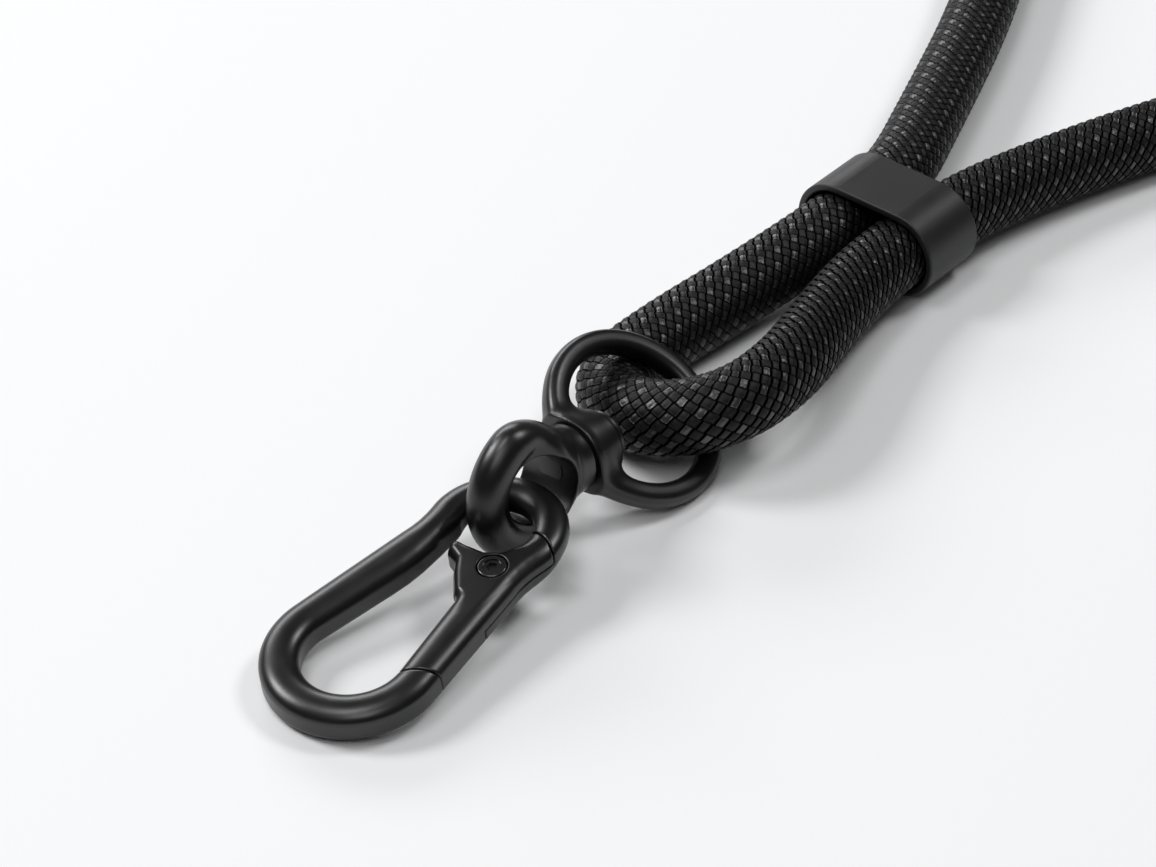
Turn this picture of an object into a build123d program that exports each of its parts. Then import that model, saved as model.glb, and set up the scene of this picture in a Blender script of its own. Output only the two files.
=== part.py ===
from build123d import *
import os
from math import acos, atan2, cos, degrees, pi, radians, sin, sqrt, tan

# Rope wrist lanyard: a rope loop through a swivel ring, a sliding keeper, and a carabiner.
# Millimetres. +X runs from the carabiner to the rope loop, +Z is up, and the floor is Z = 0.
# The origin is on the floor, under the middle of the metal pieces.

# ---------------------------------------------------------------- driving dimensions
ROPE_D = 8.0                 # outside diameter of the braided rope
CORE_D = 5.6                 # diameter of the bundle inside the braid
FIT = 0.05                   # radial running clearance of the turning pieces
GAP = 0.1                    # clearance between pieces that pass each other
PAST = 1.0                   # how far a cutting shape runs past the face it cuts

# swivel: its axis starts at the boss face and slopes down towards the rope
SWIVEL_AT = (-8.8, -0.4, 7.2)
SWIVEL_PITCH = 6.1           # degrees below level
RING_ROLL = 33.0             # far side of the rope ring up
EYE_ROLL = 86.0              # the eye stands nearly upright

RING_R, RING_BAR = 9.0, 2.24
RING_X = 9.72               # centre of the rope ring from the boss face
BOSS_R, BOSS_L = 3.7, 4.2
BOSS_CLEAR = 0.8             # the ring's bar is cut off flat this far round the boss
EYE_R, EYE_BAR = 5.85, 4.1
EYE_X = -7.14
EYE_HOLE_R = 3.95
COLLAR_R, COLLAR_FACE = 3.7, -0.45
EYE_FLARE = [(-1.9, 3.7), (-4.2, 5.9), (-6.3, 7.25), (-9.0, 8.1)]   # (x, radius) behind the collar
EYE_BAND = [(-2.2, 3.7), (-3.4, 3.2), (-7.0, 1.8)]                  # (x, half width) of its band
EYE_END_X = -16.0
RIVET_R, BUSH_R = 1.5, 2.1
WASHER_R, WASHER_T = 3.1, 0.4
HEAD_R, HEAD_T, HEAD_EDGE = 2.5, 0.8, 0.35
HEAD_WASHER_R, HEAD_WASHER_T = 3.0, 0.35

# carabiner, in its own frame: x from its round end, z from its underside
HOOK_AT = (-51.1, -1.5, 0.2)
HOOK_TILT = 7.25             # its swivel end rests up on the eye
HOOK_H = 3.4
END_R, END_IN = 9.15, 5.2    # round end, outside and inside
OUTER_FALL, INNER_FALL = 7.8, 10.0   # degrees that the two walls close in by
LOOP_X, LOOP_R, LOOP_IN = 29.9, 7.3, 3.6
SWELL = 1.6                  # the loop's round starts this far before its centre
KNEE_R = 8.0                 # the opening's walls turn into the neck on this radius
SIDE_X = 24.0                # where the straight sides reach the neck
NECK_X, NECK_Y = 26.2, 6.95
SEAM = [(10.0, -2.0), (10.0, -5.6), (12.0, -8.8), (12.0, -12.0)]    # the gate's lower seam
GATE_END_X = 34.0
GATE_IN_Y = -2.0
SPINE_IN = 3.2               # inner wall of the spine beside the pivot
EDGE_R = 1.1                 # rounded edges of the bar
PIVOT = (25.2, -3.8)
PIVOT_END_R = 6.1            # the gate's upper end is round about the pivot
GATE_SPLIT = 0.1             # seams between the gate and the body
TONGUE_H = 1.6               # the body's tongue under the gate
TONGUE_X, TONGUE_END_X, TONGUE_IN_Y = 19.4, 32.0, -2.2
TONGUE_EYE_R, GATE_EYE_R = 2.4, 2.6
TOOTH = [(20.2, -4.4), (20.6, -2.7), (22.6, -0.9), (24.0, 0.1), (24.6, 1.6), (25.3, 2.0),
         (26.0, 1.9), (26.3, 1.4), (26.3, 0.6), (26.6, -1.6), (27.6, -3.1), (28.6, -3.9),
         (28.6, -5.0), (20.2, -5.0)]
TOOTH_EDGE = 0.3
SCREW_HEAD_R, SCREW_HEAD_H = 1.45, 0.6
SCREW_DISH_R, SCREW_DISH_H = 0.95, 0.14
HEAD_ROOM = 0.13             # radial room round the screw head in the gate
SCREW_R, THREAD_R = 0.9, 0.7
NUT_R, NUT_H = 1.4, 0.7
SPRING_R, SPRING_WIRE = 1.45, 0.36
POCKET_R, POCKET_H = 1.9, 0.6
SOCKET_R, SOCKET_DEPTH = 0.6, 0.42
SCREW_SINK, SCREW_RIM_R = 0.02, 0.14
THREAD_END_Z = 0.3
THREAD_FIT = 0.02            # drawn room round a thread or a pressed piece
NUT_Z = 0.15
GATE_WASHER_R, GATE_WASHER_T = 1.25, 0.08

# keeper
KEEPER_X, KEEPER_L = 42.6, 8.5
KEEPER_Y = 1.5
KEEPER_W, KEEPER_H = 18.3, 10.3
KEEPER_WALL = 0.85
KEEPER_EDGE = 0.25
PAD_T, PAD_W, PAD_L = 0.2, 7.0, 6.5

# join sleeve at the far end of the loop
JOIN_AT = (166.6, 0.4, 5.0)
JOIN_R, JOIN_BORE, JOIN_L = 5.0, 4.35, 22.0
WHIP_T, WHIP_L = 0.22, 6.0
WHIP_FIT = 0.02
JOIN_EDGE = 0.3
GRUB_R, GRUB_HEX_R = 0.8, 0.4
GRUB_AT = 0.3                # share of the sleeve's length, each way from its middle
GRUB_SINK, GRUB_CLEAR, GRUB_FLOOR = 0.08, 0.05, 0.25
ARC_SHARE = 0.45             # each corner of the route takes this share of its shorter run

# ---------------------------------------------------------------- rope route
# One rope, from the join sleeve through the keeper, round the ring and back.
ROUTE = [
    (166.6, 0.6, 5.0), (166.6, 19.1, 5.0), (160.5, 31.1, 4.5), (149.6, 39.0, 4.0),
    (136.3, 41.1, 4.0), (123.1, 36.4, 4.0), (106.6, 27.9, 4.0), (89.1, 19.4, 4.0),
    (70.6, 12.3, 4.1), (53.2, 5.5, 5.0), (37.5, 5.6, 5.15), (26.6, 6.7, 4.5), (16.6, 8.0, 4.0),
    (7.3, 8.0, 4.0), (2.6, 3.3, 4.4), (2.6, -3.3, 6.2), (7.3, -8.1, 7.6), (16.1, -8.2, 7.2),
    (26.2, -5.2, 5.9), (37.5, -2.55, 5.15), (53.0, -2.5, 5.0), (66.6, -4.8, 4.1),
    (82.6, -10.1, 4.0), (98.1, -17.1, 4.0), (113.1, -25.1, 4.0), (126.6, -30.6, 4.0),
    (139.6, -34.7, 4.0), (151.4, -32.9, 4.0), (161.1, -25.8, 4.5), (166.6, -15.1, 5.0),
    (166.6, 0.2, 5.0),
]


def corner_radii(route):
    """The radius of each corner's arc."""
    points = [Vector(*p) for p in route]
    radii = []
    for a, b, c in zip(points, points[1:], points[2:]):
        turn = radians((b - a).get_angle(c - b))
        radii.append(ARC_SHARE * min((b - a).length, (c - b).length) / tan(turn / 2))
    return radii


def rope_path():
    return FilletPolyline(*ROUTE, radius=corner_radii(ROUTE))


def rope_tube(path, radius, bore=0.0):
    start = Plane(path @ 0, z_dir=path % 0)
    section = start * Circle(radius)
    if bore:
        section = section - start * Circle(bore)
    return sweep(section, path=path)


# ---------------------------------------------------------------- helpers
def along_x(radius, x0, x1):
    """A cylinder on the X axis from x0 to x1."""
    return Location(((x0 + x1) / 2, 0, 0), (0, 90, 0)) * Cylinder(radius, x1 - x0)


def ring_x(outer, inner, x0, x1):
    return along_x(outer, x0, x1) - along_x(inner, x0 - PAST, x1 + PAST)


def upright(radius, at, z0, z1):
    return Location((at[0], at[1], (z0 + z1) / 2)) * Cylinder(radius, z1 - z0)


def slab(face, z0, z1):
    return Location((0, 0, z0)) * extrude(face, z1 - z0)


SWIVEL = Location(SWIVEL_AT, (0, SWIVEL_PITCH, 0))
HOOK = Location(HOOK_AT, (0, -HOOK_TILT, 0))


# ---------------------------------------------------------------- swivel and rope ring
def rope_ring():
    turn = Location((RING_X, 0, 0), (RING_ROLL, 0, 0))
    torus = turn * Torus(RING_R, RING_BAR / 2)
    ring = torus - along_x(BOSS_R + BOSS_CLEAR, -2 * PAST, 0) + along_x(BOSS_R, 0, BOSS_L)
    return ring - along_x(BUSH_R, -PAST, BOSS_L + PAST)


def swivel_eye():
    """A round bar that widens into a flat band at the collar, within a flare about the axis."""
    turn = Location((EYE_X, 0, 0), (EYE_ROLL, 0, 0))
    torus = turn * Torus(EYE_R, EYE_BAR / 2)
    reach = EYE_FLARE[-1][1]
    flare = revolve(make_face(Polyline(
        (COLLAR_FACE, 0), (COLLAR_FACE, COLLAR_R), *EYE_FLARE, (EYE_END_X, reach), (EYE_END_X, 0),
        (COLLAR_FACE, 0))), Axis.X)
    edge = [(COLLAR_FACE, COLLAR_R), *EYE_BAND]
    plan = [*edge, *[(x, -y) for x, y in edge[::-1]], edge[0]]
    band = Location((0, 0, -reach - PAST)) * extrude(make_face(Polyline(*plan)), 2 * (reach + PAST))
    eye = (torus + (band & flare)) & flare
    return eye - turn * Cylinder(EYE_HOLE_R, 2 * EYE_R) - along_x(RIVET_R, EYE_X, 0)


def swivel_rivet():
    head_x = BOSS_L + GAP + HEAD_WASHER_T
    head = along_x(HEAD_R, head_x, head_x + HEAD_T)
    head = fillet(head.edges().group_by(Axis.X)[-1], HEAD_EDGE)
    flush = EYE_X + sqrt(EYE_HOLE_R ** 2 - RIVET_R ** 2)
    return head + along_x(RIVET_R, flush + GAP, head_x)


def swivel_washer():
    return ring_x(WASHER_R, RIVET_R, COLLAR_FACE, COLLAR_FACE + WASHER_T)


def swivel_head_washer():
    x0 = BOSS_L + GAP
    return ring_x(HEAD_WASHER_R, RIVET_R, x0, x0 + HEAD_WASHER_T)


def swivel_bush():
    return ring_x(BUSH_R, RIVET_R + FIT, GAP, BOSS_L - GAP)


# ---------------------------------------------------------------- carabiner
def tangent_point(centre, radius, turn):
    """The point on a circle where a line that falls by turn degrees touches it."""
    return (centre + radius * sin(radians(turn)), radius * cos(radians(turn)))


def closed_about_x(half):
    """A face from one half of its outline and the half's mirror image."""
    return make_face([*half, *[mirror(e, about=Plane.XZ) for e in half]])


def outer_face():
    """The carabiner's outline: round end, straight sides, a slight neck, round loop."""
    side = tangent_point(END_R, END_R, OUTER_FALL)
    neck_start = (SIDE_X, side[1] - (SIDE_X - side[0]) * tan(radians(OUTER_FALL)))
    swell = LOOP_X - SWELL
    loop = (swell, sqrt(LOOP_R ** 2 - (LOOP_X - swell) ** 2))
    return closed_about_x([
        ThreePointArc((0, 0), tangent_point(END_R, END_R, -45), side),
        Line(side, neck_start),
        Spline(neck_start, (NECK_X, NECK_Y), loop,
               tangents=[(1, -tan(radians(OUTER_FALL))), (loop[1], LOOP_X - swell)]),
        ThreePointArc(loop, tangent_point(LOOP_X, LOOP_R, 45), (LOOP_X + LOOP_R, 0)),
    ])


def inner_face():
    """The opening: round end, straight walls and the loop hole that the eye passes through."""
    side = tangent_point(END_R, END_IN, INNER_FALL)
    knee_x = side[0] + (side[1] - SPINE_IN) / tan(radians(INNER_FALL))
    away = Vector(knee_x - LOOP_X, SPINE_IN)
    touch = radians(degrees(atan2(away.Y, away.X)) - degrees(acos(LOOP_IN / away.length)))
    loop = (LOOP_X + LOOP_IN * cos(touch), LOOP_IN * sin(touch))
    opening = closed_about_x([
        ThreePointArc((END_R - END_IN, 0), tangent_point(END_R, END_IN, -45), side),
        Line(side, (knee_x, SPINE_IN)),
        Line((knee_x, SPINE_IN), loop),
        ThreePointArc(loop, tangent_point(LOOP_X, LOOP_IN, 45), (LOOP_X + LOOP_IN, 0)),
    ])
    knees = [v for v in opening.vertices() if abs(v.X - knee_x) < 0.01]
    return fillet(knees, KNEE_R)


def gate_zone(grow):
    """Plan of the side that opens, between its two seams, grown by the seam's clearance."""
    low = [(x - grow, y) for x, y in SEAM]
    out_y = SEAM[-1][1]
    area = make_face(Polyline(*low, (GATE_END_X, out_y), (GATE_END_X, GATE_IN_Y), low[0]))
    seam = Location((*PIVOT, 0)) * Circle(PIVOT_END_R + grow)
    below = Pos(PIVOT[0] / 2, out_y / 2) * Rectangle(PIVOT[0], -2 * out_y)
    return area & (below + seam)


def tooth_face():
    """The gate's tooth, which crosses to the spine and closes the loop hole."""
    return make_face(Polyline(*TOOTH, TOOTH[0]))


def tongue_zone(start_x, end_x, in_y, top):
    """The place of the body's tongue, from under the bar to its top."""
    out_y = SEAM[-1][1]
    plan = make_face(Polyline((start_x, out_y), (start_x, in_y), (end_x, in_y), (end_x, out_y),
                              (start_x, out_y)))
    return slab(plan, -PAST, top)


def rounded_bar():
    """The whole ring of the carabiner with its edges rounded, before it is parted."""
    ring = extrude(outer_face() - inner_face(), HOOK_H)
    top = ring.edges().group_by(Axis.Z)[-1]
    bottom = ring.edges().group_by(Axis.Z)[0]
    return fillet(top + bottom, EDGE_R)


def hook_body(ring):
    zone = slab(gate_zone(GATE_SPLIT), -PAST, HOOK_H + PAST)
    inner = upright(LOOP_IN, (LOOP_X, 0), -PAST, HOOK_H + PAST)
    tongue = ring & zone & tongue_zone(TONGUE_X, TONGUE_END_X, TONGUE_IN_Y, TONGUE_H)
    tongue = tongue + (upright(TONGUE_EYE_R, PIVOT, 0, TONGUE_H) - inner)
    body = (ring - zone) + tongue
    body = body - upright(THREAD_R + THREAD_FIT, PIVOT, -PAST, TONGUE_H + PAST)
    return body - upright(NUT_R + THREAD_FIT, PIVOT, -PAST, NUT_Z + NUT_H + FIT)


def hook_gate(ring):
    zone = slab(gate_zone(0), -PAST, HOOK_H + PAST)
    tooth = extrude(tooth_face(), HOOK_H)
    tooth = chamfer(tooth.edges().group_by(Axis.Z)[-1], TOOTH_EDGE)
    fixed = extrude(outer_face() - inner_face(), HOOK_H) - zone
    gate = (ring & zone) + (tooth + upright(GATE_EYE_R, PIVOT, 0, HOOK_H) - fixed)
    gate = gate - tongue_zone(TONGUE_X - GAP, TONGUE_END_X + PAST, TONGUE_IN_Y + GAP, TONGUE_H + GAP)
    gate = gate - upright(TONGUE_EYE_R + GAP, PIVOT, -PAST, TONGUE_H + GAP)
    gate = gate - upright(LOOP_IN, (LOOP_X, 0), -PAST, HOOK_H + PAST)
    gate = gate - upright(SCREW_R + FIT, PIVOT, 0, HOOK_H + PAST)
    gate = gate - upright(SCREW_HEAD_R + HEAD_ROOM, PIVOT, HOOK_H - SCREW_HEAD_H - GAP, HOOK_H + PAST)
    return gate - upright(POCKET_R, PIVOT, TONGUE_H, TONGUE_H + GAP + POCKET_H)


def gate_pivot_screw():
    """A low head with a rounded rim, a dished middle and a hexagon socket."""
    head_z = HOOK_H - SCREW_HEAD_H - SCREW_SINK
    head_top = HOOK_H - SCREW_SINK
    head = upright(SCREW_HEAD_R, PIVOT, head_z, head_top)
    head = fillet(head.edges().group_by(Axis.Z)[-1], SCREW_RIM_R)
    head = head - upright(SCREW_DISH_R, PIVOT, head_top - SCREW_DISH_H, head_top + PAST)
    socket = Pos(*PIVOT) * RegularPolygon(SOCKET_R, 6)
    head = head - slab(socket, head_top - SOCKET_DEPTH, head_top + PAST)
    shank = upright(SCREW_R, PIVOT, TONGUE_H, head_z)
    return head + shank + upright(THREAD_R, PIVOT, THREAD_END_Z, TONGUE_H)


def gate_pivot_nut():
    nut = upright(NUT_R, PIVOT, NUT_Z, NUT_Z + NUT_H)
    return nut - upright(THREAD_R, PIVOT, -PAST, HOOK_H)


def gate_washer():
    washer = upright(GATE_WASHER_R, PIVOT, TONGUE_H, TONGUE_H + GATE_WASHER_T)
    return washer - upright(SCREW_R + THREAD_FIT, PIVOT, 0, HOOK_H)


def gate_spring():
    """The gate spring, drawn as one closed coil about the screw."""
    z = TONGUE_H + GAP + POCKET_H / 2
    return Location((*PIVOT, z)) * Torus(SPRING_R, SPRING_WIRE / 2)


# ---------------------------------------------------------------- keeper
def stadium(width, height):
    return SlotOverall(width, height)


def keeper_sleeve():
    plane = Plane(origin=(KEEPER_X, KEEPER_Y, KEEPER_H / 2), x_dir=(0, 1, 0), z_dir=(1, 0, 0))
    outer = plane * stadium(KEEPER_W, KEEPER_H)
    inner = plane * stadium(KEEPER_W - 2 * KEEPER_WALL, KEEPER_H - 2 * KEEPER_WALL)
    sleeve = extrude(outer - inner, KEEPER_L)
    ends = sleeve.edges().group_by(Axis.X)
    return fillet(ends[0] + ends[-1], KEEPER_EDGE)


def keeper_pads():
    """Two grip strips on the flat walls inside."""
    x = KEEPER_X + KEEPER_L / 2
    z = KEEPER_H / 2
    reach = z - KEEPER_WALL - PAD_T / 2
    return [Location((x, KEEPER_Y, z + side * reach)) * Box(PAD_L, PAD_W, PAD_T)
            for side in (1, -1)]


# ---------------------------------------------------------------- join sleeve
def along_y(radius, y0, y1, x=JOIN_AT[0], z=JOIN_AT[2]):
    return Location((x, (y0 + y1) / 2, z), (90, 0, 0)) * Cylinder(radius, y1 - y0)


def grub_places():
    return [JOIN_AT[1] + side * JOIN_L * GRUB_AT for side in (1, -1)]


def join_sleeve():
    y0, y1 = JOIN_AT[1] - JOIN_L / 2, JOIN_AT[1] + JOIN_L / 2
    sleeve = along_y(JOIN_R, y0, y1)
    sleeve = chamfer(sleeve.edges().filter_by(GeomType.CIRCLE), JOIN_EDGE)
    sleeve = sleeve - along_y(JOIN_BORE, y0 - PAST, y1 + PAST)
    for y in grub_places():
        sleeve = sleeve - upright(GRUB_R, (JOIN_AT[0], y), JOIN_AT[2], JOIN_AT[2] + JOIN_R + PAST)
    return sleeve


def join_screws():
    low = JOIN_AT[2] + ROPE_D / 2 + WHIP_T + GRUB_CLEAR
    high = JOIN_AT[2] + JOIN_R
    screws = []
    for y in grub_places():
        at = (JOIN_AT[0], y)
        screw = upright(GRUB_R, at, low, high - GRUB_SINK)
        socket = Pos(*at) * RegularPolygon(GRUB_HEX_R, 6)
        screws.append(screw - slab(socket, low + GRUB_FLOOR, high + PAST))
    return screws


def rope_whippings():
    """Tape round each rope end, inside the sleeve."""
    bands = []
    for side in (1, -1):
        a = JOIN_AT[1] + side * (JOIN_L * GRUB_AT - WHIP_L / 2)
        b = JOIN_AT[1] + side * (JOIN_L * GRUB_AT + WHIP_L / 2)
        low, high = min(a, b), max(a, b)
        bands.append(along_y(ROPE_D / 2 + WHIP_T, low, high)
                     - along_y(ROPE_D / 2 + WHIP_FIT, low - PAST, high + PAST))
    return bands


# ---------------------------------------------------------------- build and write
def solids_of(shape):
    """A list or a shape, as one compound of separate solids."""
    if isinstance(shape, list):
        return Compound(children=[s.solid() for s in shape])
    found = shape.solids()
    return found[0] if len(found) == 1 else Compound(children=list(found))


def main():
    path = rope_path()
    ring = rounded_bar()
    parts = {
        "rope_sheath": rope_tube(path, ROPE_D / 2, CORE_D / 2 + 0.05),
        "rope_core": rope_tube(path, CORE_D / 2),
        "rope_whippings": rope_whippings(),
        "join_sleeve": join_sleeve(),
        "join_screws": join_screws(),
        "keeper_sleeve": keeper_sleeve(),
        "keeper_pads": keeper_pads(),
        "rope_ring": SWIVEL * rope_ring(),
        "swivel_bush": SWIVEL * swivel_bush(),
        "swivel_eye": SWIVEL * swivel_eye(),
        "swivel_rivet": SWIVEL * swivel_rivet(),
        "swivel_washer": SWIVEL * swivel_washer(),
        "swivel_head_washer": SWIVEL * swivel_head_washer(),
        "hook_body": HOOK * hook_body(ring),
        "hook_gate": HOOK * hook_gate(ring),
        "gate_pivot_screw": HOOK * gate_pivot_screw(),
        "gate_pivot_nut": HOOK * gate_pivot_nut(),
        "gate_washer": HOOK * gate_washer(),
        "gate_spring": HOOK * gate_spring(),
    }
    os.makedirs("parts", exist_ok=True)
    for name, shape in parts.items():
        export_step(solids_of(shape), f"parts/{name}.step")
    print("rope length", round(path.length, 1))
    print("corner radii", [round(r, 1) for r in corner_radii(ROUTE)])
    tube = parts["rope_sheath"].volume + parts["rope_core"].volume
    section = pi * ((ROPE_D / 2) ** 2 - (CORE_D / 2 + 0.05) ** 2 + (CORE_D / 2) ** 2)
    print("rope volume", round(tube), "section x length", round(section * path.length))


main()
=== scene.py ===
from math import cos, pi, radians, sin

import bpy
import numpy as np
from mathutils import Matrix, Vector


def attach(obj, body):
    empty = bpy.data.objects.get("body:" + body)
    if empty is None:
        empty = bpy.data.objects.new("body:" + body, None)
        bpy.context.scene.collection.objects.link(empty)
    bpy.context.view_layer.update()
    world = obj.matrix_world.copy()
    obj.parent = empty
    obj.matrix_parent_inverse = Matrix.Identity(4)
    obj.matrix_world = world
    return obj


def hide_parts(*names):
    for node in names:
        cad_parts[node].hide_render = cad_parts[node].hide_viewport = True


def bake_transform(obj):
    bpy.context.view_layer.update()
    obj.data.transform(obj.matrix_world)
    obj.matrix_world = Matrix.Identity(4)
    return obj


# Rope wrist lanyard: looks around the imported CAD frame. Metres, CAD frame.
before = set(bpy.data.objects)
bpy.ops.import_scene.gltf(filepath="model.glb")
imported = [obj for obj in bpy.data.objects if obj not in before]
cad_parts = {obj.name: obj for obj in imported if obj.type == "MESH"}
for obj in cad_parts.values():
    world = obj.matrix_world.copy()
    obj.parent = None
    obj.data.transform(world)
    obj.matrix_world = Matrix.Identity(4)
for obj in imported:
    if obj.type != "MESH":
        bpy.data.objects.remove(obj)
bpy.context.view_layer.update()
MM = 0.001

# ---------------------------------------------------------------- camera
CAMERA_AT = (-0.23024, -0.18964, 0.23812)
CAMERA_DOWN, CAMERA_TURN = 38.07, -49.6     # degrees below level, and about the vertical
camera_data = bpy.data.cameras.new("camera")
camera_data.lens = 115.2
camera_data.sensor_width = 36
camera_data.clip_start = 0.01
camera = bpy.data.objects.new("camera", camera_data)
bpy.context.collection.objects.link(camera)
camera.location = CAMERA_AT
camera.rotation_euler = (radians(90 - CAMERA_DOWN), 0, radians(CAMERA_TURN))
bpy.context.scene.camera = camera


# ---------------------------------------------------------------- node helpers
NOISE_ROUGHNESS = 0.55
CLOUD_SCALE, GLOSS_SPREAD = 260.0, 0.06


class Nodes:
    """A short way to build one material's node tree."""

    def __init__(self, name):
        self.material = bpy.data.materials.new(name)
        self.material.use_nodes = True
        self.tree = self.material.node_tree
        self.shader = self.tree.nodes["Principled BSDF"]

    def add(self, kind, **values):
        node = self.tree.nodes.new(kind)
        for key, value in values.items():
            setattr(node, key, value)
        return node

    def link(self, source, target):
        self.tree.links.new(source, target)

    def math(self, operation, a, b=None, c=None):
        node = self.add("ShaderNodeMath", operation=operation)
        for socket, value in zip(node.inputs, (a, b, c)):
            if value is None:
                continue
            if isinstance(value, (int, float)):
                socket.default_value = value
            else:
                self.link(value, socket)
        return node.outputs[0]

    def noise(self, vector, scale, detail):
        node = self.add("ShaderNodeTexNoise")
        node.inputs["Scale"].default_value = scale
        node.inputs["Detail"].default_value = detail
        node.inputs["Roughness"].default_value = NOISE_ROUGHNESS
        self.link(vector, node.inputs["Vector"])
        return node.outputs["Fac"]

    def ramp(self, value, low, high, at):
        """A map of a value to a colour between two colours."""
        node = self.add("ShaderNodeValToRGB")
        node.color_ramp.elements[0].position = at[0]
        node.color_ramp.elements[1].position = at[1]
        node.color_ramp.elements[0].color = (*low, 1)
        node.color_ramp.elements[1].color = (*high, 1)
        self.link(value, node.inputs[0])
        return node.outputs[0]

    def span(self, value, low, high):
        """A map of 0..1 to low..high."""
        node = self.add("ShaderNodeMapRange")
        node.inputs["To Min"].default_value = low
        node.inputs["To Max"].default_value = high
        self.link(value, node.inputs["Value"])
        return node.outputs[0]

    def bump(self, height, distance):
        node = self.add("ShaderNodeBump")
        node.inputs["Distance"].default_value = distance
        node.inputs["Strength"].default_value = 1.0
        self.link(height, node.inputs["Height"])
        return node.outputs[0]

    def coords(self):
        return self.add("ShaderNodeTexCoord").outputs["Object"]

    def paint(self, **sockets):
        """Sets the shader's own sockets, or links them."""
        for name, value in sockets.items():
            socket = self.shader.inputs[name.replace("_", " ")]
            if hasattr(value, "node"):
                self.link(value, socket)
            else:
                socket.default_value = value
        return self.material


def coated_metal(name, base, roughness, grain, bump, metallic=0.0, shine=0.5):
    """A sprayed or blackened coat: fine grain and faint clouding of the colour and gloss."""
    n = Nodes(name)
    place = n.coords()
    fine = n.noise(place, grain, detail=2.0)
    cloud = n.noise(place, CLOUD_SCALE, detail=3.0)
    colour = n.ramp(cloud, tuple(c * 0.8 for c in base), tuple(c * 1.3 for c in base), at=(0.3, 0.7))
    rough = n.span(cloud, roughness - GLOSS_SPREAD, roughness + GLOSS_SPREAD)
    return n.paint(Base_Color=colour, Roughness=rough, Metallic=metallic, Specular_IOR_Level=shine,
                   Normal=n.bump(fine, bump))


# ---------------------------------------------------------------- rope
ROPE_D = 0.008
BRAID_N = 16                            # carriers each way
BRAID_PITCH = 1.27 * MM                 # along the rope, from one carrier to the next
STEPS = 6                               # mesh rows in each carrier, both ways
NARROW = 0.72                           # width of the yarns that run one way, in carriers
BRAID_DEPTH = 0.2 * MM
BRAID_PROUD = 0.03 * MM
FILAMENT_BUMP = 0.12 * MM

# the route of part.py, as control points
ROUTE_MM = [
    (166.6, 0.6, 5.0), (166.6, 19.1, 5.0), (160.5, 31.1, 4.5), (149.6, 39.0, 4.0),
    (136.3, 41.1, 4.0), (123.1, 36.4, 4.0), (106.6, 27.9, 4.0), (89.1, 19.4, 4.0),
    (70.6, 12.3, 4.1), (53.2, 5.5, 5.0), (37.5, 5.6, 5.15), (26.6, 6.7, 4.5), (16.6, 8.0, 4.0),
    (7.3, 8.0, 4.0), (2.6, 3.3, 4.4), (2.6, -3.3, 6.2), (7.3, -8.1, 7.6), (16.1, -8.2, 7.2),
    (26.2, -5.2, 5.9), (37.5, -2.55, 5.15), (53.0, -2.5, 5.0), (66.6, -4.8, 4.1),
    (82.6, -10.1, 4.0), (98.1, -17.1, 4.0), (113.1, -25.1, 4.0), (126.6, -30.6, 4.0),
    (139.6, -34.7, 4.0), (151.4, -32.9, 4.0), (161.1, -25.8, 4.5), (166.6, -15.1, 5.0),
    (166.6, 0.2, 5.0),
]


def route_line():
    """The smooth line of the rope, as points read from the route's own spline."""
    curve = bpy.data.curves.new("route", "CURVE")
    curve.dimensions = "3D"
    spline = curve.splines.new("NURBS")
    spline.points.add(len(ROUTE_MM) - 1)
    for point, at in zip(spline.points, ROUTE_MM):
        point.co = (at[0] * MM, at[1] * MM, at[2] * MM, 1)
    spline.order_u = 3
    spline.use_endpoint_u = True
    spline.resolution_u = 48
    holder = bpy.data.objects.new("route", curve)
    bpy.context.collection.objects.link(holder)
    bpy.context.view_layer.update()
    mesh = bpy.data.meshes.new_from_object(holder)
    points = np.array([v.co for v in mesh.vertices], float)
    bpy.data.objects.remove(holder)
    bpy.data.meshes.remove(mesh)
    return points


def even_line(points, step):
    """The line again, with points a set distance apart along it."""
    along = np.concatenate([[0], np.cumsum(np.linalg.norm(np.diff(points, axis=0), axis=1))])
    count = int(round(along[-1] / step)) + 1
    at = np.linspace(0, along[-1], count)
    return np.stack([np.interp(at, along, points[:, k]) for k in range(3)], axis=1), at


def frames_along(line):
    """Two cross directions at each point, carried along the line without twist."""
    tangents = np.gradient(line, axis=0)
    tangents /= np.linalg.norm(tangents, axis=1)[:, None]
    side = np.cross(tangents[0], (0, 0, 1.0))
    side /= np.linalg.norm(side)
    sides = []
    for t in tangents:
        side = side - t * (side @ t)
        side /= np.linalg.norm(side)
        sides.append(side)
    sides = np.array(sides)
    return sides, np.cross(tangents, sides)


def braid_height(a, b):
    """Height from 0 to 1 of a plain braid, where a and b count the carriers of the two ways."""
    fa, fb = a - np.floor(a), b - np.floor(b)
    first = (np.floor(a) + np.floor(b)) % 2 < 1
    across = np.where(first, (fa * 2 - 1) / NARROW, fb * 2 - 1)
    along = np.where(first, fb, fa) * 2 - 1
    crown = np.clip(1 - np.abs(across) ** 2.6, 0, 1) ** 0.7
    arch = 1 - 0.5 * np.abs(along) ** 2.2
    return crown * arch


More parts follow.
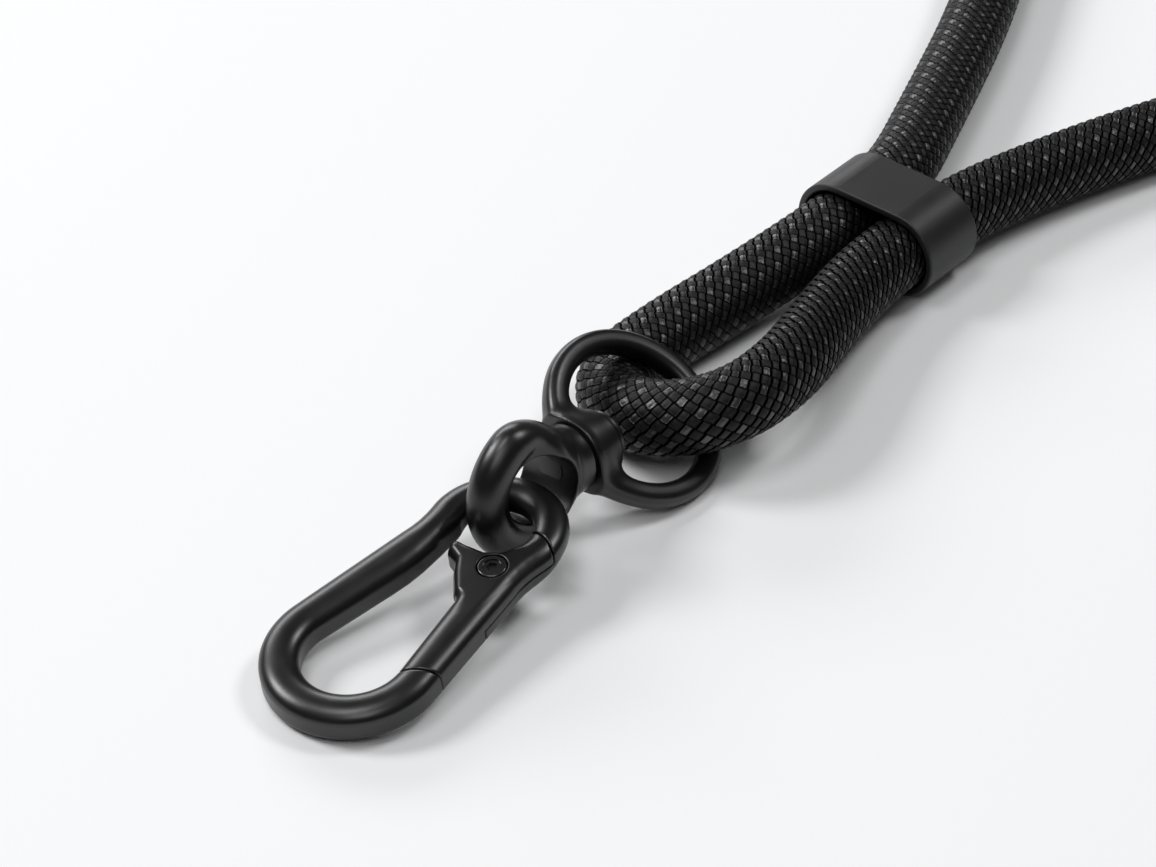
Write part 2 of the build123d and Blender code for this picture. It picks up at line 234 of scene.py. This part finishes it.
def rope_mesh(line):
    around = BRAID_N * STEPS
    centres, at = even_line(line, BRAID_PITCH / STEPS)
    sides, ups = frames_along(centres)
    u = at / BRAID_PITCH
    v = np.arange(around) / STEPS
    a, b = u[:, None] + v[None, :], u[:, None] - v[None, :]
    jitter = 0.5 / STEPS      # grid points stand beside the seams, not on them
    height = braid_height(a + jitter, b + 1e-6)
    radius = ROPE_D / 2 + BRAID_PROUD - BRAID_DEPTH * (1 - height)
    angle = 2 * pi * v / BRAID_N
    ring = (np.cos(angle)[None, :, None] * sides[:, None, :]
            + np.sin(angle)[None, :, None] * ups[:, None, :])
    verts = centres[:, None, :] + ring * radius[:, :, None]
    rows = len(centres)
    index = np.arange(rows * around).reshape(rows, around)
    quads = np.stack([index[:-1], np.roll(index, -1, 1)[:-1],
                      np.roll(index, -1, 1)[1:], index[1:]], axis=-1).reshape(-1, 4)
    mesh = bpy.data.meshes.new("rope")
    caps = [list(index[0][::-1]), list(index[-1])]
    mesh.from_pydata(verts.reshape(-1, 3), [], quads[:, ::-1].tolist() + caps)
    uv = mesh.uv_layers.new(name="braid")
    column = np.tile(np.arange(around), rows - 1)
    row = np.repeat(np.arange(rows - 1), around)
    corners = np.stack([
        np.stack([u[row], column / STEPS], -1), np.stack([u[row], (column + 1) / STEPS], -1),
        np.stack([u[row + 1], (column + 1) / STEPS], -1), np.stack([u[row + 1], column / STEPS], -1),
    ], axis=1)[:, ::-1]
    flat = np.zeros((len(mesh.loops), 2))
    flat[:corners.shape[0] * 4] = corners.reshape(-1, 2)
    uv.data.foreach_set("uv", flat.astype(np.float32).ravel())
    for polygon in mesh.polygons:
        polygon.use_smooth = True
    mesh.update()
    return mesh, centres


def braid_material():
    """Black filament yarns: painted shade darkens the gaps between them to near black, filaments run
    along them, and one way is glossier.
    """
    n = Nodes("braid")
    uv = n.add("ShaderNodeUVMap", uv_map="braid").outputs[0]
    parts = n.add("ShaderNodeSeparateXYZ")
    n.link(uv, parts.inputs[0])
    u, v = parts.outputs[0], parts.outputs[1]
    a, b = n.math("ADD", u, v), n.math("SUBTRACT", u, v)
    fa, fb = n.math("FRACT", a), n.math("FRACT", b)
    ia, ib = n.math("FLOOR", a), n.math("FLOOR", b)
    first = n.math("COMPARE", n.math("FLOORED_MODULO", n.math("ADD", ia, ib), 2.0), 0.0, 0.25)
    other = n.math("SUBTRACT", 1.0, first)

    def pick(x, y):
        return n.math("ADD", n.math("MULTIPLY", x, first), n.math("MULTIPLY", y, other))

    def edge(value, power):
        """1 in the middle of a 0..1 value and 0 at both its ends."""
        off = n.math("MULTIPLY", n.math("ABSOLUTE", n.math("SUBTRACT", value, 0.5)), 2.0)
        return n.math("SUBTRACT", 1.0, n.math("MINIMUM", n.math("POWER", off, power), 1.0))

    narrow = n.math("ADD", n.math("DIVIDE", n.math("SUBTRACT", fa, 0.5), NARROW), 0.5)
    across, along = pick(narrow, fb), pick(fb, fa)
    yarn = pick(ia, n.math("ADD", ib, 57.0))
    # seam is 1 on a yarn and falls to 0 at the gaps between yarns; it paints shade into the colour
    # there, and also sets the gloss and the bump
    seam = n.math("MULTIPLY", edge(across, 7.0), edge(along, 9.0))
    glossy = n.math("MULTIPLY", first, n.math("COMPARE", n.math("FLOORED_MODULO", ia, 2.0), 0.0, 0.25))
    lines = n.add("ShaderNodeCombineXYZ")
    n.link(n.math("MULTIPLY", across, 8.0), lines.inputs[0])
    n.link(n.math("MULTIPLY", along, 1.3), lines.inputs[1])
    n.link(n.math("MULTIPLY", yarn, 3.7), lines.inputs[2])
    filament = n.noise(lines.outputs[0], 1.0, detail=2.0)
    # painted shade: the colour falls to near black at the gaps between yarns, over real filament
    # streaks along them
    filament_tone_and_gap_shade = n.math("MULTIPLY", n.math("ADD", n.math("MULTIPLY", filament, 0.8), 0.2), seam)
    colour = n.ramp(filament_tone_and_gap_shade, (0.0003, 0.0003, 0.0003), (0.0075, 0.0075, 0.008), at=(0.08, 0.9))
    rough = n.math("SUBTRACT", n.span(filament, 0.42, 0.64), n.math("MULTIPLY", glossy, 0.16))
    shine = n.math("ADD", 0.26, n.math("MULTIPLY", glossy, 0.62))
    shine = n.math("MULTIPLY", n.math("ADD", shine, n.math("MULTIPLY", first, 0.15)), seam)
    height = n.math("ADD", seam, n.math("MULTIPLY", filament, 0.35))
    return n.paint(Base_Color=colour, Roughness=rough, Specular_IOR_Level=shine,
                   Normal=n.bump(height, FILAMENT_BUMP))


rope_surface, rope_line = rope_mesh(route_line())
rope = bpy.data.objects.new("rope", rope_surface)
bpy.context.collection.objects.link(rope)
rope.data.materials.append(braid_material())
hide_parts("rope_sheath", "rope_core")
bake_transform(rope)


# ---------------------------------------------------------------- smooth solid shapes
NET_ROUNDS, SMOOTH_ROUNDS = 5, 3        # rounds that settle a net on its surface, and smooth it


def smooth_min(a, b, k):
    h = np.clip(0.5 + 0.5 * (b - a) / k, 0, 1)
    return b * (1 - h) + a * h - k * h * (1 - h)


def smooth_max(a, b, k):
    return -smooth_min(-a, -b, k)


def surface_net(field, low, high, step):
    """A quad mesh of the surface where field(x, y, z) is 0; it is negative inside."""
    axes = [np.arange(lo, hi + step, step) for lo, hi in zip(low, high)]
    value = field(*np.meshgrid(*axes, indexing="ij"))
    inside = value < 0
    size = np.array(value.shape) - 1
    total = np.zeros((*size, 3))
    count = np.zeros(size)
    corners = [(i, j, k) for i in (0, 1) for j in (0, 1) for k in (0, 1)]

    def block(grid, corner):
        return grid[tuple(slice(c, c + n) for c, n in zip(corner, size))]

    for first in corners:
        for axis in range(3):
            if first[axis]:
                continue
            second = tuple(1 if k == axis else c for k, c in enumerate(first))
            fa, fb = block(value, first), block(value, second)
            crossed = block(inside, first) != block(inside, second)
            share = np.where(crossed, fa / np.where(crossed, fa - fb, 1), 0)
            for k in range(3):
                total[..., k] += np.where(crossed, first[k] + (share if k == axis else 0), 0)
            count += crossed
    active = count > 0
    number = -np.ones(size, int)
    number[active] = np.arange(active.sum())
    cell = np.stack(np.nonzero(active), -1)
    points = np.array(low) + step * (cell + total[active] / count[active][:, None])
    quads = []
    for axis in range(3):
        here = tuple(slice(0, -1) if k == axis else slice(1, -1) for k in range(3))
        there = tuple(slice(1, None) if k == axis else slice(1, -1) for k in range(3))
        crossed = inside[here] != inside[there]
        at = np.stack(np.nonzero(crossed), -1)
        if not len(at):
            continue
        others = [k for k in range(3) if k != axis]
        at[:, others[0]] += 1
        at[:, others[1]] += 1
        around = []
        for du, dv in ((-1, -1), (0, -1), (0, 0), (-1, 0)):
            p = at.copy()
            p[:, others[0]] += du
            p[:, others[1]] += dv
            around.append(number[p[:, 0], p[:, 1], p[:, 2]])
        faces = np.stack(around, -1)
        start = inside[at[:, 0], at[:, 1], at[:, 2]]
        flip = start if axis != 1 else ~start
        faces[~flip] = faces[~flip][:, ::-1]
        quads.append(faces)
    faces = np.concatenate(quads)
    share = np.bincount(faces.ravel(), minlength=len(points))[:, None]
    for turn in range(NET_ROUNDS):
        if turn < SMOOTH_ROUNDS:
            middle = points[faces].mean(1)
            pull = np.stack([np.bincount(faces.ravel(), np.repeat(middle[:, k], 4), len(points))
                             for k in range(3)], -1) / share
            points = points + 0.5 * (pull - points)
        x, y, z = points.T
        f = field(x, y, z)
        e = step * 0.1
        slope = np.stack([(field(x + e, y, z) - f) / e, (field(x, y + e, z) - f) / e,
                          (field(x, y, z + e) - f) / e], -1)
        move = slope * (f / np.maximum((slope ** 2).sum(-1), 0.05))[:, None]
        points = points - np.clip(move, -0.5 * step, 0.5 * step)
    return points, faces


SWIVEL_AT = np.array((-8.8, -0.4, 7.2))
SWIVEL_PITCH = radians(6.1)
RING_ROLL, EYE_ROLL = radians(33), radians(86)
RING_X, RING_R, RING_BAR = 9.72, 9.0, 1.26
EYE_X, EYE_R, EYE_BAR, EYE_HOLE = -7.14, 5.85, 2.05, 3.86
COLLAR_END = -0.45


def solid_piece(name, field, low, high, step, at, pitch, roll, body, node):
    """A piece whose field is given along an axis, across it, and out of that plane."""
    points, quads = surface_net(field, low, high, step)
    x, d, n = points.T
    y, z = d * cos(roll) - n * sin(roll), d * sin(roll) + n * cos(roll)
    out = np.stack([x * cos(pitch) + z * sin(pitch), y, -x * sin(pitch) + z * cos(pitch)], -1) + at
    mesh = bpy.data.meshes.new(name)
    mesh.from_pydata((out * MM).tolist(), [], quads.tolist())
    for polygon in mesh.polygons:
        polygon.use_smooth = True
    mesh.update()
    piece = bpy.data.objects.new(name, mesh)
    bpy.context.collection.objects.link(piece)
    mesh.materials.append(SATIN)
    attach(piece, body)
    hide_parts(node)


def soft_interp(x, at, values, reach=0.9):
    """Values between set places, with the corners rounded over a reach."""
    return np.mean([np.interp(x + reach * k, at, values) for k in np.linspace(-1, 1, 7)], axis=0)


def ring_field(x, d, n):
    """The rope ring: a slightly squared bar that swells and webs into the boss."""
    far = np.hypot(x - RING_X, d)
    turn = np.degrees(np.arctan2(np.abs(d), RING_X - x))
    swell = 1 + 0.5 * np.clip((52 - turn) / 40, 0, 1) ** 2
    across, out = np.abs(far - RING_R) / swell, np.abs(n) / swell
    bar = ((across ** 2.6 + out ** 2.6) ** (1 / 2.6) - RING_BAR) * swell
    waist = 3.25 + 0.45 * np.clip((1.4 - x) / 1.4, 0, 1) ** 2
    axis_far = np.hypot(d, n)
    boss = smooth_max(axis_far - waist, np.abs(x - 2.1) - 2.1, 0.35)
    both = smooth_min(bar, boss, 2.3)
    both = smooth_max(both, -x, 0.3)
    return np.where(x < 9, smooth_max(both, 1.55 - axis_far, 0.1), both)


def eye_field(x, d, n):
    """The swivel eye: a round bar that widens to a thin-edged band at the collar."""
    far = np.hypot(x - EYE_X, d)
    bar = np.hypot(far - EYE_R, n) - EYE_BAR
    width = soft_interp(x, [-9.6, -7.1, -6.0, -4.9, -3.3], [1.2, 1.9, 2.9, 4.1, 4.6])
    wall = np.maximum(far - EYE_HOLE, 0) / 3.6
    dome = (((np.abs(n) / width) ** 3.5 + wall ** 3.5) ** (1 / 3.5) - 1) * 2.2
    axis_far = np.hypot(d, n)
    oval = soft_interp(x, [-3.4, -1.8], [1.24, 1.0])
    flare = np.hypot(d, n * oval) - soft_interp(
        x, [-11.0, -9.0, -7.1, -5.5, -4.2, -3.0, -1.9, -0.4],
        [8.9, 8.1, 7.25, 6.45, 5.6, 4.6, 3.6, 3.5])
    body = smooth_max(smooth_min(bar, dome, 0.5), flare * 0.8, 1.5)
    body = smooth_max(body, EYE_HOLE - far, 0.22)
    collar = smooth_max(axis_far - 3.7, np.abs(x + 1.5) - 1.05, 0.3)
    collar = smooth_max(collar, EYE_HOLE - far, 0.22)
    return smooth_max(smooth_min(body, collar, 0.4), x - COLLAR_END, 0.2)


# carabiner, in its own frame: x from its round end, z from its underside
HOOK_AT = np.array((-51.1, -1.5, 0.2))
HOOK_PITCH = radians(-7.25)
HOOK_H = 3.4
PIVOT = (25.2, -3.8)
SEAM_R, SEAM_GAP = 6.1, 0.1
TONGUE_X, TONGUE_H = 19.4, 1.6
CROWN, CROWN_RISE = 2.0, 1.3            # how far the crown runs in from the wall, and its drop
LOWER, LOWER_RISE = 0.8, 0.7            # the same for the lower edges
LOOP_LOWER, LOOP_LOWER_RISE = 1.5, 1.0  # added to them in the loop that hangs on the eye
SEAT_R, SEAT_DEPTH = 1.58, 0.7          # the screw's seat in the gate
SHANK_R, WASHER_R, NUT_R, NUT_TOP = 0.97, 1.9, 1.42, 0.9
GRID = 0.1


def arc(centre, radius, start, end, count=70):
    """Points on an arc about a centre, between two angles in degrees."""
    angles = np.radians(np.linspace(start, end, count))
    return [(centre[0] + radius * cos(t), centre[1] + radius * sin(t)) for t in angles]


def both_sides(half):
    return half + [(x, -y) for x, y in half[::-1]]


def plan_distance(outline):
    """A function of x and y: the distance to a closed outline, negative inside it."""
    xs, ys = np.arange(-2, 40, GRID), np.arange(-13, 13, GRID)
    gx, gy = np.meshgrid(xs, ys, indexing="ij")
    best = np.full(gx.shape, 1e9)
    inside = np.zeros(gx.shape, bool)
    for (x0, y0), (x1, y1) in zip(outline, outline[1:] + outline[:1]):
        dx, dy = x1 - x0, y1 - y0
        share = np.clip(((gx - x0) * dx + (gy - y0) * dy) / max(dx * dx + dy * dy, 1e-12), 0, 1)
        best = np.minimum(best, np.hypot(gx - x0 - share * dx, gy - y0 - share * dy))
        if y0 != y1:
            crosses = (y0 > gy) != (y1 > gy)
            inside ^= crosses & (gx < x0 + (gy - y0) * dx / dy)
    grid = np.where(inside, -best, best)

    def distance(x, y):
        i = np.clip((x - xs[0]) / GRID, 0, len(xs) - 1.001)
        j = np.clip((y - ys[0]) / GRID, 0, len(ys) - 1.001)
        i0, j0 = i.astype(int), j.astype(int)
        i, j = i - i0, j - j0
        return ((grid[i0, j0] * (1 - i) + grid[i0 + 1, j0] * i) * (1 - j)
                + (grid[i0, j0 + 1] * (1 - i) + grid[i0 + 1, j0 + 1] * i) * j)

    return distance


outer = plan_distance(both_sides(
    arc((9.15, 0), 9.15, 180, 82.2) + [(24.0, 7.2), (25.1, 7.02), (26.2, 6.95), (27.3, 7.0)]
    + arc((29.9, 0), 7.3, 102.7, 0)))
opening = plan_distance(both_sides(
    arc((9.15, 0), 5.2, 180, 80) + [(18.6, 3.58), (20.6, 3.28), (22.6, 3.17), (25.5, 3.25)]
    + arc((29.9, 0), 3.72, 110, 0)))
zone = plan_distance(
    [(10, -2), (10, -5.6), (12, -8.8), (12, -12.5), (PIVOT[0], -12.5)]
    + arc(PIVOT, SEAM_R, -90, 17.2) + [(31.0, -2)])
tooth = plan_distance([
    (20.2, -4.4), (20.6, -2.7), (22.6, -0.9), (24.0, 0.1), (24.6, 1.6), (25.3, 2.0), (26.0, 1.9),
    (26.3, 1.4), (26.3, 0.6), (26.6, -1.6), (27.6, -3.1), (28.6, -3.9), (28.6, -5.0), (20.2, -5.0)])


def bar_section(inset, z, reach, under=0):
    """The crowned section of the bar: inset is the plan distance past the wall, negative inside,
    and under, from 0 to 1, rounds off the lower edges."""
    above = z > HOOK_H / 2
    reach = np.where(above, reach, LOWER + LOOP_LOWER * under)
    rise = np.where(above, CROWN_RISE, LOWER_RISE + LOOP_LOWER_RISE * under)
    side = np.maximum(inset + reach, 0) / reach
    level = np.maximum(np.abs(z - HOOK_H / 2) - HOOK_H / 2 + rise, 0) / rise
    return (np.sqrt(side ** 2 + level ** 2) - 1) * rise


def round_hole(x, y, z, radius, low, high):
    """Distance into a round upright hole on the gate's pivot, negative outside it."""
    far = np.hypot(x - PIVOT[0], y - PIVOT[1])
    return np.minimum(radius - far, np.minimum(z - low, high - z))


def body_field(x, y, z):
    inset = np.maximum(outer(x, y), -opening(x, y))
    gate_side = zone(x, y)
    bar = bar_section(inset, z, CROWN, np.clip((x - 28) / 4, 0, 1))
    tongue = np.maximum(np.maximum(bar, z - TONGUE_H), TONGUE_X - x)
    body = np.minimum(smooth_max(bar, SEAM_GAP - gate_side, 0.15), tongue)
    return smooth_max(body, round_hole(x, y, z, NUT_R, -1, NUT_TOP), 0.05)


def gate_field(x, y, z):
    bar = np.maximum(np.maximum(outer(x, y), -opening(x, y)), y + 2)
    inset = smooth_min(bar, tooth(x, y), 0.8)
    near = np.clip((6.0 - np.abs(x - 24.7)) / 2.5, 0, 1) * np.clip((y + 6.5) / 2, 0, 1)
    gate = bar_section(inset, z, CROWN - 1.1 * near)
    gate = smooth_max(gate, np.minimum(zone(x, y), tooth(x, y) - 0.7), 0.15)
    under = np.minimum(TONGUE_H + 0.1 - z, x - TONGUE_X + 0.1)
    gate = smooth_max(gate, np.where(inset < 0.5, np.minimum(under, -2.1 - y), -1), 0.08)
    for radius, low, high in ((SEAT_R, HOOK_H - SEAT_DEPTH, 9), (SHANK_R, 0, 9),
                              (WASHER_R, 0, TONGUE_H + 0.7)):
        gate = smooth_max(gate, round_hole(x, y, z, radius, low, high), 0.08)
    return gate


# ---------------------------------------------------------------- finishes, and the pieces
SATIN = coated_metal("satin_black", (0.0035, 0.0035, 0.0038), 0.32, 5200.0, 0.004 * MM, shine=0.64)
MATTE = coated_metal("matte_black", (0.008, 0.008, 0.0085), 0.46, 3800.0, 0.010 * MM)
SCREW = coated_metal("screw_black", (0.008, 0.008, 0.0085), 0.24, 4000.0, 0.004 * MM, shine=1.0)
DARK = coated_metal("dark_washer", (0.05, 0.05, 0.05), 0.4, 3000.0, 0.005 * MM, metallic=0.8)
BRASS = coated_metal("bush_brass", (0.55, 0.42, 0.2), 0.35, 3000.0, 0.004 * MM, metallic=1.0)
SPRING = coated_metal("spring_wire", (0.4, 0.4, 0.4), 0.3, 3000.0, 0.003 * MM, metallic=1.0)
RUBBER = coated_metal("grip_strip", (0.02, 0.02, 0.02), 0.8, 3000.0, 0.02 * MM)
TAPE = coated_metal("end_tape", (0.03, 0.03, 0.03), 0.6, 1800.0, 0.03 * MM)
swivel = (SWIVEL_AT, SWIVEL_PITCH)
hook = (HOOK_AT, HOOK_PITCH, 0)
solid_piece("ring_piece", ring_field, (-1, -11, -5), (20.5, 11, 5), 0.16, *swivel, RING_ROLL,
            "ring", "rope_ring")
solid_piece("eye_piece", eye_field, (-16, -9, -5), (0.4, 9, 5), 0.14, *swivel, EYE_ROLL,
            "swivel", "swivel_eye")
solid_piece("body_piece", body_field, (-0.6, -10, -0.5), (38, 10, 4), 0.15, *hook, "hook", "hook_body")
solid_piece("gate_piece", gate_field, (9, -10, -0.5), (33, 3, 4), 0.12, *hook, "gate", "hook_gate")
FINISH = {
    "join_sleeve": MATTE, "keeper_sleeve": MATTE,
    "swivel_rivet": SATIN, "swivel_head_washer": SATIN,
    "gate_pivot_screw": SCREW, "gate_pivot_nut": SCREW, "join_screws": SCREW,
    "swivel_washer": DARK, "gate_washer": DARK, "swivel_bush": BRASS, "gate_spring": SPRING,
    "keeper_pads": RUBBER, "rope_whippings": TAPE,
}
for name, material in FINISH.items():
    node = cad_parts[name]
    node.data.materials.clear()
    node.data.materials.append(material)

# ---------------------------------------------------------------- floor and light
floor_mesh = bpy.data.meshes.new("floor")
HALF = 2.5
floor_mesh.from_pydata([(-HALF, -HALF, 0), (HALF, -HALF, 0), (HALF, HALF, 0), (-HALF, HALF, 0)], [],
                       [(0, 1, 2, 3)])
floor = bpy.data.objects.new("floor", floor_mesh)
bpy.context.collection.objects.link(floor)
floor_look = Nodes("floor")
floor.data.materials.append(floor_look.paint(Base_Color=(0.93, 0.935, 0.945, 1), Roughness=0.75))


def area_light(name, at, size, power):
    """A soft box of light, turned to the object."""
    data = bpy.data.lights.new(name, "AREA")
    data.shape = "RECTANGLE"
    data.size, data.size_y = size
    data.energy = power
    lamp = bpy.data.objects.new(name, data)
    bpy.context.collection.objects.link(lamp)
    lamp.location = at
    lamp.rotation_euler = (-Vector(at)).to_track_quat("-Z", "Y").to_euler()


area_light("key", (-0.4, 0.98, 0.97), (0.42, 0.42), 9.4)
area_light("back", (0.68, 1.29, 0.65), (1.2, 0.45), 9.0)
area_light("top", (-0.3, 0.2, 1.5), (0.5, 0.5), 4.6)
area_light("front", (-0.5, -0.35, 1.0), (0.5, 0.5), 2.3)
area_light("side", (0.76, -0.35, 1.12), (0.36, 0.36), 4.6)
world = bpy.data.worlds.new("world")
bpy.context.scene.world = world
world.use_nodes = True
world.node_tree.nodes["Background"].inputs[0].default_value = (1, 1, 1, 1)
world.node_tree.nodes["Background"].inputs[1].default_value = 0.06
bpy.context.scene.view_settings.view_transform = "Standard"
